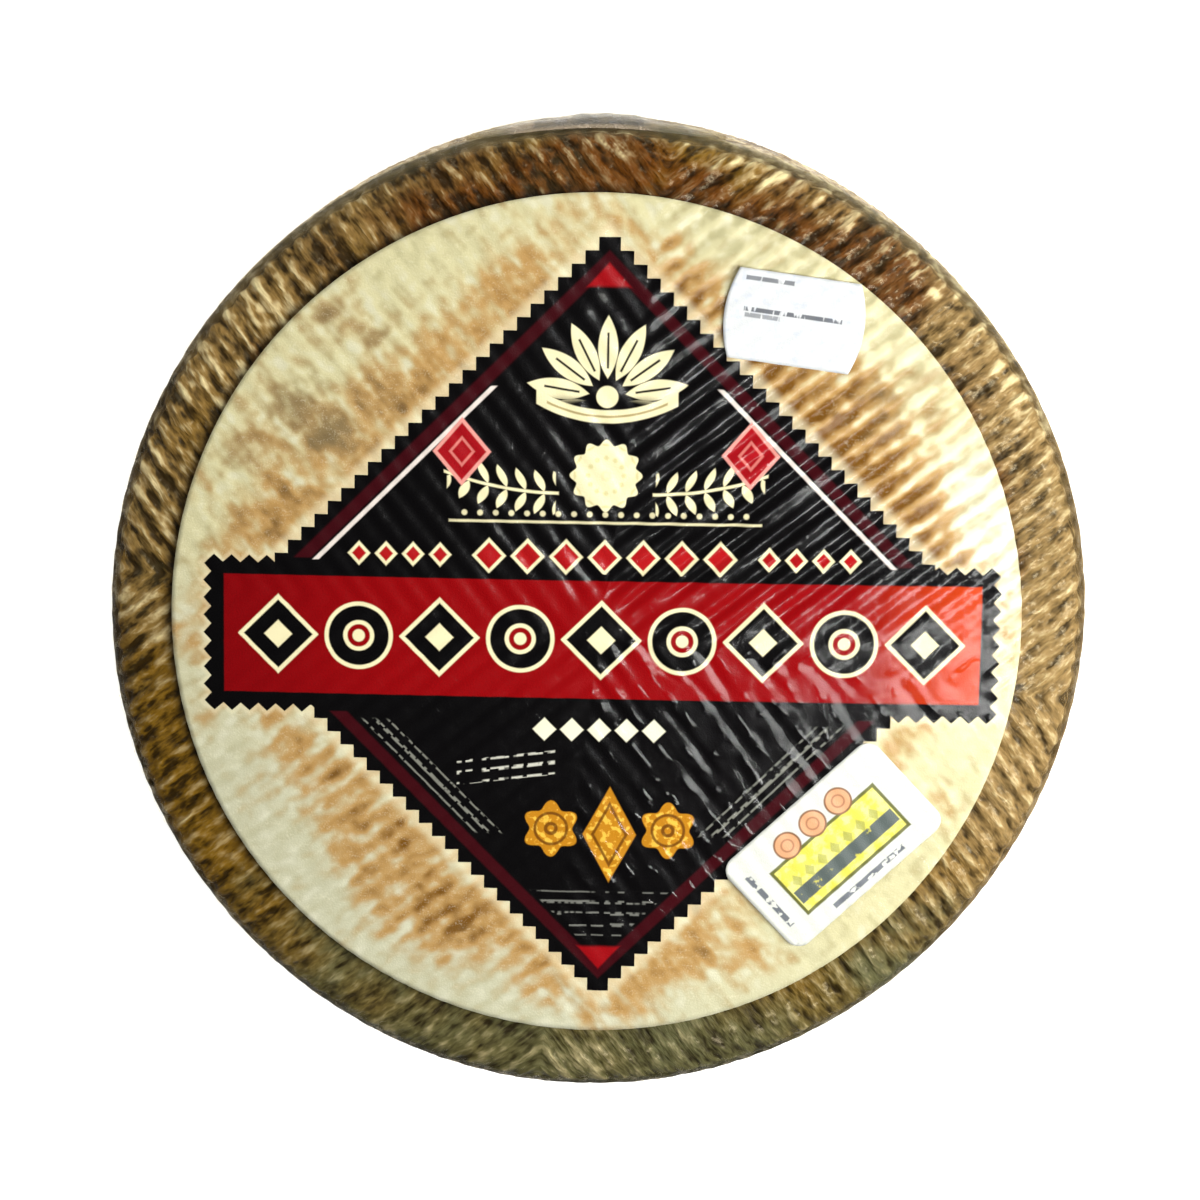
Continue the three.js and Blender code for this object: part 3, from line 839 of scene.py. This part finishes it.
def lowerOrnament(art, x, y, inset):
    paint = art.paint
    # a red dart at the bottom
    paint((150, 10, 18), filled((abs(x) * 1.1 - y - 69.2).most(64.7 + y) * 0.7, 0.3))
    lower = filled(y + 20.0, 0.5)
    # five cream lozenges under the band
    five = lozenge((x + 0.5).repeat(5.3), y + 21.2, 2.3, 2.3).most(abs(x + 0.5) - 13.2)
    paint((236, 232, 204), filled(five))

    # plain dashes where small print would be
    def dashes(place, cross, pitch, seed, least=0.5):
        run = cloud(art.tree, place * (1 / 2.2), cross.math("FLOOR", cross / pitch) * 7.3, seed, 1.0)
        return filled(abs(cross.repeat(pitch)) - 0.34) * run.ramp(least - 0.06, least)
    edgeLines = dashes(abs(x) + y, inset - 7.0, 1.9, 2.0) * filled(abs(inset - 7.0) - 1.9) * lower
    paint((190, 190, 176), edgeLines * filled(-(y + 42.0), 0.4) * 0.4)
    noteX, noteY = x + 18.5, y + 29.0 - (x + 18.5) * 0.13
    note = dashes(noteX, noteY, 2.3, 5.0) * filled(bar(noteX, noteY, 9.5, 2.4))
    paint((216, 214, 200), note * 0.85)
    foot = dashes(x, y + 58.0, 2.3, 8.0, 0.52) * filled((abs(y + 58.0) - 4.5).most(abs(x) - 67.0 + abs(y)))
    paint((196, 196, 186), foot * 0.3)

    # gold lozenge between two gold flowers
    goldY = y + 41.0
    tall = lozenge(x - 1.8, goldY + 1.0, 5.2, 9.6)
    side = abs(x - 1.8) - 11.4
    flowerReach = hypotenuse(side, goldY)
    flowerTurn = side.math("ARCTAN2", side, goldY)
    flower = flowerReach - 4.9 - flowerTurn.math("COSINE", flowerTurn * 6.0) * 0.75
    gold = tall.least(flower)
    sheen = cloud(art.tree, x * 0.7, y * 0.7, 4.0, 2.0)
    paint(label["gold"], filled(gold))
    paint((236, 186, 70), filled(gold + 0.3) * sheen.ramp(0.5, 0.62))
    lines = (abs(tall + 1.7) - 0.28).least(abs(flowerReach - 3.1) - 0.28).least(abs(flowerReach - 1.0) - 0.35)
    paint((98, 52, 10), filled(lines.most(gold + 0.5)) * 0.85)


# ---- the stickers

priceTag = {
    "place": (37.6, 57.9), "turn": -8.2, "halfWidth": 11.6, "halfHeight": 8.6, "bulge": 1.8,
    "lift": 1.02, "thickness": 0.16, "curl": 0.35,
}
gradeTag = {
    "place": (46.2, -44.1), "turn": 42.6, "width": 39.1, "height": 22.8, "corner": 3,
    "lift": 1.02, "thickness": 0.16, "curl": 0.2,
}


def layOnLabel(mesh, tag, halfWidth, halfHeight):
    # turns a flat outline to its place and lays it over the paper, a little loose at the corners
    points = places(mesh)
    corner = np.abs(points[:, 0] / halfWidth * points[:, 1] / halfHeight)
    turn = math.radians(tag["turn"])
    x = points[:, 0] * math.cos(turn) - points[:, 1] * math.sin(turn) + tag["place"][0]
    y = points[:, 0] * math.sin(turn) + points[:, 1] * math.cos(turn) + tag["place"][1]
    across = alongRidges(x, y)[0]
    relief = 0.16 * (ridgeProfile(across / wheel["ridgePitch"], 1.0) - 1)
    flat = np.stack([x, y, np.zeros_like(x)], axis=1)
    height = crestHeight(np.hypot(x, y)) + tag["lift"] + 0.16 + relief + tag["curl"] * corner ** 3
    movePlaces(mesh, np.stack([x, y, height + 0.04 * roughness(flat, (6, 6, 6), 3.0)], axis=1))
    bmesh.ops.recalc_face_normals(mesh, faces=mesh.faces)
    if sum(face.normal.z for face in mesh.faces) < 0:
        bmesh.ops.reverse_faces(mesh, faces=mesh.faces)
    bmesh.ops.solidify(mesh, geom=mesh.faces[:], thickness=-tag["thickness"])
    bmesh.ops.recalc_face_normals(mesh, faces=mesh.faces)


def priceSticker():
    mesh = bmesh.new()
    bmesh.ops.create_grid(mesh, x_segments=40, y_segments=24, size=1)
    for vertex in mesh.verts:
        bulge = priceTag["bulge"] * (1 - vertex.co.y ** 2)
        vertex.co.x *= priceTag["halfWidth"] + bulge
        vertex.co.y *= priceTag["halfHeight"]
    layOnLabel(mesh, priceTag, priceTag["halfWidth"] + priceTag["bulge"], priceTag["halfHeight"])
    finishPiece(mesh, "priceSticker", [priceMaterial()], "price_sticker")


def gradeSticker():
    halfWidth, halfHeight = gradeTag["width"] / 2, gradeTag["height"] / 2
    mesh = bmesh.new()
    bmesh.ops.create_grid(mesh, x_segments=1, y_segments=1, size=1)
    bmesh.ops.scale(mesh, vec=(halfWidth, halfHeight, 1), verts=mesh.verts)
    bmesh.ops.bevel(mesh, geom=mesh.verts[:], affect="VERTICES", offset=gradeTag["corner"], segments=8,
                    profile=0.5, material=-1)
    for axis, half, count in ((0, halfWidth, 46), (1, halfHeight, 28)):
        for i in range(1, count):
            centre, normal = [0, 0, 0], [0, 0, 0]
            centre[axis], normal[axis] = half * (2 * i / count - 1), 1
            bmesh.ops.bisect_plane(mesh, geom=mesh.verts[:] + mesh.edges[:] + mesh.faces[:], plane_co=centre,
                                   plane_no=normal)
    layOnLabel(mesh, gradeTag, halfWidth, halfHeight)
    finishPiece(mesh, "gradeSticker", [gradeMaterial()], "grade_sticker")


def priceMaterial():
    material, tree, output = newMaterial("price sticker paper")
    x, y = millimetres(tree, priceTag["place"], -priceTag["turn"])[:2]
    grain = useGroup(tree, paperGroup, **{"Fibre Size": 0.25})
    art = Painting(tree, (208, 210, 208))
    art.paint((198, 201, 203), grain["Tone"].ramp(0.4, 0.8))
    smear = cloud(tree, x * 0.5, y * 0.5, 1.0, 3.0, 0.6)
    art.paint((186, 194, 206), smear.ramp(0.5, 0.68) * 0.5)
    dots = cloud(tree, x * 0.9, y * 0.2, 5.0, 1.0)
    lines = ((6.9, -5.6, 4.6, 0.75), (1.0, -0.4, 9.4, 0.85), (-0.1, -6.2, 3.4, 0.6))
    for middle, centre, half, depth in lines:
        line = filled((abs(y - middle) - 0.42).most(abs(x - centre) - half), 0.12)
        art.paint((52, 56, 66), line * dots.ramp(0.36, 0.44) * depth)
    paperSurface(tree, output, art, grain, (0.5, 0.65), 0.4, 0.00012)
    return material


def gradeMaterial():
    material, tree, output = newMaterial("grade sticker paper")
    x, y = millimetres(tree, gradeTag["place"], -gradeTag["turn"])[:2]
    grain = useGroup(tree, paperGroup, **{"Fibre Size": 0.25})
    art = Painting(tree, (212, 213, 203))
    paint = art.paint
    paint((200, 202, 190), grain["Tone"].ramp(0.4, 0.8))
    # a yellow field with an olive frame, a dark bar, and a row of peach discs
    field = bar(x - 0.5, y + 1.5, 13.2, 5.4)
    tone = cloud(tree, x * 0.35, y * 0.35, 2.0, 3.0, 0.6)
    paint((96, 98, 40), filled(field - 0.3))
    paint((214, 204, 74), filled(field + 0.4))
    paint((232, 226, 138), filled(field + 0.4) * tone.ramp(0.44, 0.6) * 0.8)
    paint((78, 88, 84), filled(bar(x - 0.5, y + 3.4, 12.6, 1.5)) * tone.ramp(0.3, 0.42))
    disc = hypotenuse(x.repeat(6.6), y - 6.0)
    inRow = filled(abs(x) - 9.8)
    paint((128, 88, 56), filled(disc - 2.8) * inRow)
    paint((216, 156, 112), filled(disc - 2.4) * inRow)
    paint((142, 92, 60), filled(abs(disc - 1.2) - 0.18) * inRow * 0.7)
    chevrons = lozenge(x.repeat(3.3), y + 0.6, 1.1, 1.5).most(abs(x - 0.5) - 11.5)
    paint((146, 150, 74), filled(chevrons) * 0.7)
    dots = cloud(tree, x * 0.7, y * 0.7, 5.0, 1.0)
    foot = filled((abs(y + 9.4) - 0.55).most(abs(x - 1.0) - 9.0))
    side = filled((abs(x + 16.6) - 0.6).most(abs(y) - 6.6))
    paint((60, 68, 84), (foot.most(side)) * dots.ramp(0.40, 0.48) * 0.85)
    paperSurface(tree, output, art, grain, (0.35, 0.5), 0.4, 0.00012)
    return material


# ---- the clear film

film = {
    "steps": 480,
    "lift": 0.26,           # above the crests of the rind
    "overLabel": 0.18,      # above the paper
    "settle": 0.45,         # how far the film follows the grooves
    "wrinkle": 0.10,
    "roughness": 0.19,
    "ior": 1.38,
    "mostGloss": 0.3,
}


def clearFilm():
    blank = lathe([
        (0, 0, 20),
        (faceRadius, 0, 6),
        (wheel["rimRadius"], wallLow, 20),
        (wheel["rimRadius"], wallHigh, 8),
        (faceRadius, wallHigh + wheel["shoulder"], 12),
        (81, wallHigh + wheel["shoulder"], 66),
        (0, wallHigh + wheel["shoulder"], 0),
    ], film["steps"])
    refineRim(blank, 80, lambda place: place.z > 0.5)
    skin = WheelSkin(blank)
    crests = skin.points()
    ridges = skin.ridges(1.0, rind["wander"] * roughness(crests, (8, 8, 8)))
    depth = ridgeDepth(skin, rind["depth"], rind["plaitDepth"]) * (1 - 0.9 * skin.onWall) * film["settle"]
    wrinkle = roughness(crests, (5, 5, 12), 61.0) + 0.3 * roughness(crests, (2.2, 2.2, 3), 67.0)
    wrinkle = film["wrinkle"] * wrinkle
    onRind = film["lift"] - depth * (1 - ridges) + np.maximum(wrinkle, -0.08)
    flat = np.stack([skin.x, skin.y, np.full_like(skin.x, wheel["height"])], axis=1)
    onPaper = labelTop + film["overLabel"] - 0.85 * paperDips(skin.x, skin.y) + slack(flat)
    overLabel = np.where(skin.upper, smoothStep(skin.radius, 85.5, 82.4), 0)
    underneath = np.where(skin.upper, 0, 1) * smoothStep(skin.radius, faceRadius + 3, faceRadius)
    lift = onRind * (1 - overLabel) + onPaper * overLabel
    lift = lift * (1 - underneath) + 0.02 * underneath  # plain and close under the wheel
    movePlaces(blank, skin.points(lift))
    finishPiece(blank, "clearFilm", [filmMaterial()], "cheese_wheel")


def filmMaterial():
    material, tree, output = newMaterial("clear shrink film")
    crease = useGroup(tree, creaseGroup, **{"Crease Size": 8.0})
    x, y, z = millimetres(tree)
    # rougher where it clings to the rind than over the paper
    overRind = hypotenuse(x, y).ramp(81, 84).most(z.ramp(90, 88))
    cling = cloud(tree, x * 0.8, y * 0.8, z * 0.8, 1.0, 0.6)
    # short tight folds along the ridges, at the front on the right
    tight = useGroup(tree, ridgeGroup)["Crest"].ramp(0.7, 1.0) * crease["Slack"].ramp(0.5, 0.62)
    tight = tight * x.ramp(-8, 12) * y.ramp(2, -12) * y.ramp(-62, -46)
    height = crease["Slack"] + crease["Crease"] * 0.05 + cling * overRind * 1.1 + tight * 0.9
    normal = bump(tree, height, 0.0004, 0.5)
    clear = addNode(tree, "ShaderNodeBsdfTransparent", {"Color": (0.97, 0.97, 0.955, 1)})
    gloss = addNode(tree, "ShaderNodeBsdfPrincipled", {
        "Base Color": blend(tree, (0.95, 0.95, 0.93, 1), (0.95, 0.8, 0.5, 1), overRind),
        "Metallic": 1.0,
        "Roughness": overRind * 0.11 + film["roughness"],
        "Normal": normal,
    })
    fresnel = addNode(tree, "ShaderNodeFresnel", {"IOR": film["ior"]})
    broken = (cling + crease["Slack"] * 0.5).ramp(0.7, 0.9, 0.08, 1.2)
    overPrint = (abs(x) + abs(y)).ramp(82, 74).most(abs(y + label["bandLow"]).ramp(18, 15))
    glossShare = (1 - overRind) * (overPrint * 0.6 + 0.4) + overRind * broken
    amount = Field(tree, fresnel.outputs[0]).least(film["mostGloss"]) * glossShare
    seen = addNode(tree, "ShaderNodeMixShader", {0: amount, 1: clear.outputs[0], 2: gloss.outputs[0]})
    # light on its way in to what lies under the film, or out again, isn't held back
    for kind, name in (("ShaderNodeNewGeometry", "Backfacing"), ("ShaderNodeLightPath", "Is Shadow Ray")):
        seen = addNode(tree, "ShaderNodeMixShader", {
            0: addNode(tree, kind).outputs[name], 1: seen.outputs[0], 2: clear.outputs[0]})
    join(tree, output.inputs[0], seen.outputs[0])
    return material


# ---- the gathered end of the film

fold = {
    "middle": 90, "spread": 15, "top": 2, "deep": 15, "proud": 0.4, "hump": 1.3, "thickness": 0.18,
}


def filmFold():
    mesh = bmesh.new()
    bmesh.ops.create_grid(mesh, x_segments=110, y_segments=30, size=1)
    share = places(mesh)
    along, down = share[:, 0], (1 - share[:, 1]) / 2
    angle = np.radians(fold["middle"] + fold["spread"] * along)
    rimHeight = wheel["height"] - wheel["crown"]
    # it narrows towards its frayed ends
    line = np.stack([along * 25, np.zeros_like(along), np.zeros_like(along)], axis=1)
    start = fold["top"] + 1.5 * along ** 4
    end = fold["top"] + fold["deep"] * (1 - 0.5 * np.abs(along) ** 3)
    end = end - 0.8 * np.abs(roughness(line, (4, 1, 1), 73.0))
    drop = start + (end - start) * down
    level = np.maximum(0, wheel["shoulder"] - drop)
    bend = np.sqrt(wheel["shoulder"] ** 2 - level ** 2) - wheel["shoulder"]
    share = np.clip((rimHeight - drop - wallLow) / (wallHigh - wallLow), 0, 1)
    bulge = wheel["wallBulge"] * (1 - (2 * share - 1) ** 2)
    # gathered into a hump, with pleats that fan out from it
    swell = fold["hump"] * np.exp(-((along + 0.08) / 0.3) ** 4) + 0.3 * np.exp(-((along - 0.4) / 0.14) ** 2)
    body = np.interp(down, (0, 0.27, 0.6, 1), (0.0, 0.35, 0.5, 0.0))
    fan = np.arctan2((along + 0.08) * 25, down * 15 + 5)
    pleats = 0.2 * (1 - np.abs(np.sin(fan * 9))) * smoothStep(down, 0.05, 0.4) * (1 - along ** 2)
    proud = fold["proud"] + body * (swell + 0.2 * (1 - along ** 2)) + pleats
    radius = (wheel["rimRadius"] + bulge + bend + proud + 0.3) * outlineFactor(angle)
    points = np.stack([radius * np.cos(angle), radius * np.sin(angle), rimHeight - drop], axis=1)
    movePlaces(mesh, points)
    bmesh.ops.recalc_face_normals(mesh, faces=mesh.faces)
    if sum(face.normal.y for face in mesh.faces) < 0:
        bmesh.ops.reverse_faces(mesh, faces=mesh.faces)
    bmesh.ops.solidify(mesh, geom=mesh.faces[:], thickness=fold["thickness"])
    bmesh.ops.recalc_face_normals(mesh, faces=mesh.faces)
    finishPiece(mesh, "filmFold", [foldMaterial()], "film_fold")


def foldMaterial():
    material, tree, output = newMaterial("gathered film")
    x, y, z = millimetres(tree)
    crease = useGroup(tree, creaseGroup, **{"Crease Size": 4.0})
    gather = cloud(tree, x * 0.12, y * 0.4, z * 0.4, 1.0, 0.5)
    # painted light and shade: pale where it lies on the edge and catches the light, painted darker where it
    # turns down, thin and greenish towards the right
    lines = (abs(x - 2.3).ramp(9, 6)).most(abs(x + 8.5).ramp(4, 3) * 0.8)
    onEdge, thin = 1 - z.ramp(90.6, 89.8) * lines, x.ramp(8, 14).most(x.ramp(-15, -19))
    tone = Painting(tree, (88, 88, 84))
    tone.paint((190, 172, 148), onEdge)
    tone.paint((126, 126, 106), thin * 0.8)
    tone.paint((112, 108, 96), gather.ramp(0.5, 0.66) * 0.5)
    normal = bump(tree, crease["Slack"] * 0.4 + crease["Crease"] * 0.3 + gather, 0.0005, 0.7)
    clear = addNode(tree, "ShaderNodeBsdfTransparent", {"Color": (0.86, 0.84, 0.76, 1)})
    body = addNode(tree, "ShaderNodeBsdfPrincipled", {
        "Base Color": tone.colour,
        "Roughness": gather.ramp(0.3, 0.7, 0.16, 0.34),
        "Normal": normal,
    })
    amount = (gather * 0.5 + crease["Crease"] * 0.3).ramp(0.1, 0.6, 0.35, 0.75) * (1 - thin * 0.45)
    amount = amount * abs(x).ramp(25, 18, 0.15, 1) * z.ramp(80, 89, 0.45, 1)
    mix = addNode(tree, "ShaderNodeMixShader", {0: amount, 1: clear.outputs[0], 2: body.outputs[0]})
    join(tree, output.inputs[0], mix.outputs[0])
    return material


# ---- floor, light and camera

studio = {
    "floorHalf": 3.0,
    "world": 0.05,
    "aim": (0.0008, 0.0041, 0.0945),
    "tilt": 10, "azimuth": 5, "distance": 0.600, "lens": 93.36,
}


def makeFloor():
    mesh = bmesh.new()
    bmesh.ops.create_grid(mesh, x_segments=1, y_segments=1, size=studio["floorHalf"])
    bmesh.ops.translate(mesh, vec=(0, 0, -0.0002), verts=mesh.verts)
    floor, data = newObject(mesh, "studioFloor")
    material, tree, output = newMaterial("pale floor")
    x, y = millimetres(tree)[:2]
    tone = cloud(tree, x * 0.004, y * 0.004, 0.0, 2.0)
    surface = addNode(tree, "ShaderNodeBsdfPrincipled", {
        "Base Color": blend(tree, (0.96, 0.96, 0.955, 1), (0.99, 0.99, 0.99, 1), tone),
        "Roughness": 0.8,
        "Specular IOR Level": 0.1,
        "Emission Color": (1, 1, 1, 1),
        "Emission Strength": 0.85,
    })
    join(tree, output.inputs[0], surface.outputs[0])
    data.materials.append(material)


def areaLight(name, place, target, size, power):
    data = bpy.data.lights.new(name, "AREA")
    data.shape = "RECTANGLE"
    data.size, data.size_y = size
    data.energy = power
    light = bpy.data.objects.new(name, data)
    light.location = place
    light.rotation_euler = (Vector(target) - Vector(place)).to_track_quat("-Z", "Y").to_euler()
    bpy.context.scene.collection.objects.link(light)


def makeStudio():
    makeFloor()
    world = bpy.data.worlds.new("studio")
    world.use_nodes = True
    world.node_tree.nodes["Background"].inputs[0].default_value = (1, 1, 1, 1)
    world.node_tree.nodes["Background"].inputs[1].default_value = studio["world"]
    bpy.context.scene.world = world
    areaLight("keyBox", (0.26, -0.018, 0.60), (0, 0, 0.09), (0.28, 0.30), 3.1)
    areaLight("sideBox", (0.33, -0.02, 0.34), (0.05, 0, 0.09), (0.14, 0.14), 1.25)
    areaLight("leftBox", (-1.3, 0.4, 0.95), (0, 0, 0.09), (1.0, 0.9), 5)
    areaLight("backBox", (0.3, 1.4, 0.9), (0, 0, 0.09), (1.2, 0.8), 8)
    areaLight("frontBox", (0.1, -1.5, 0.9), (0, 0, 0.09), (1.2, 0.8), 1.5)
    bpy.context.scene.view_settings.view_transform = "Standard"


def makeCamera():
    data = bpy.data.cameras.new("camera")
    data.lens, data.sensor_width = studio["lens"], 36
    data.clip_start, data.clip_end = 0.02, 20
    camera = bpy.data.objects.new("camera", data)
    tilt, azimuth = math.radians(studio["tilt"]), math.radians(studio["azimuth"])
    back = Vector((math.sin(tilt) * math.sin(azimuth), math.sin(tilt) * math.cos(azimuth), math.cos(tilt)))
    camera.location = Vector((0, 0, studio["aim"][2])) + back * studio["distance"]
    ahead = (Vector(studio["aim"]) - camera.location).normalized()
    right = ahead.cross(Vector((0, 1, 0))).normalized()
    up = right.cross(ahead)
    camera.rotation_mode = "QUATERNION"
    camera.rotation_quaternion = Matrix((right, up, -ahead)).transposed().to_quaternion()
    bpy.context.scene.collection.objects.link(camera)
    bpy.context.scene.camera = camera


makeCamera()
cheeseRind()
paperLabel()
clearFilm()
filmFold()
priceSticker()
gradeSticker()
makeStudio()
print("pieces, floor, lights and camera made")
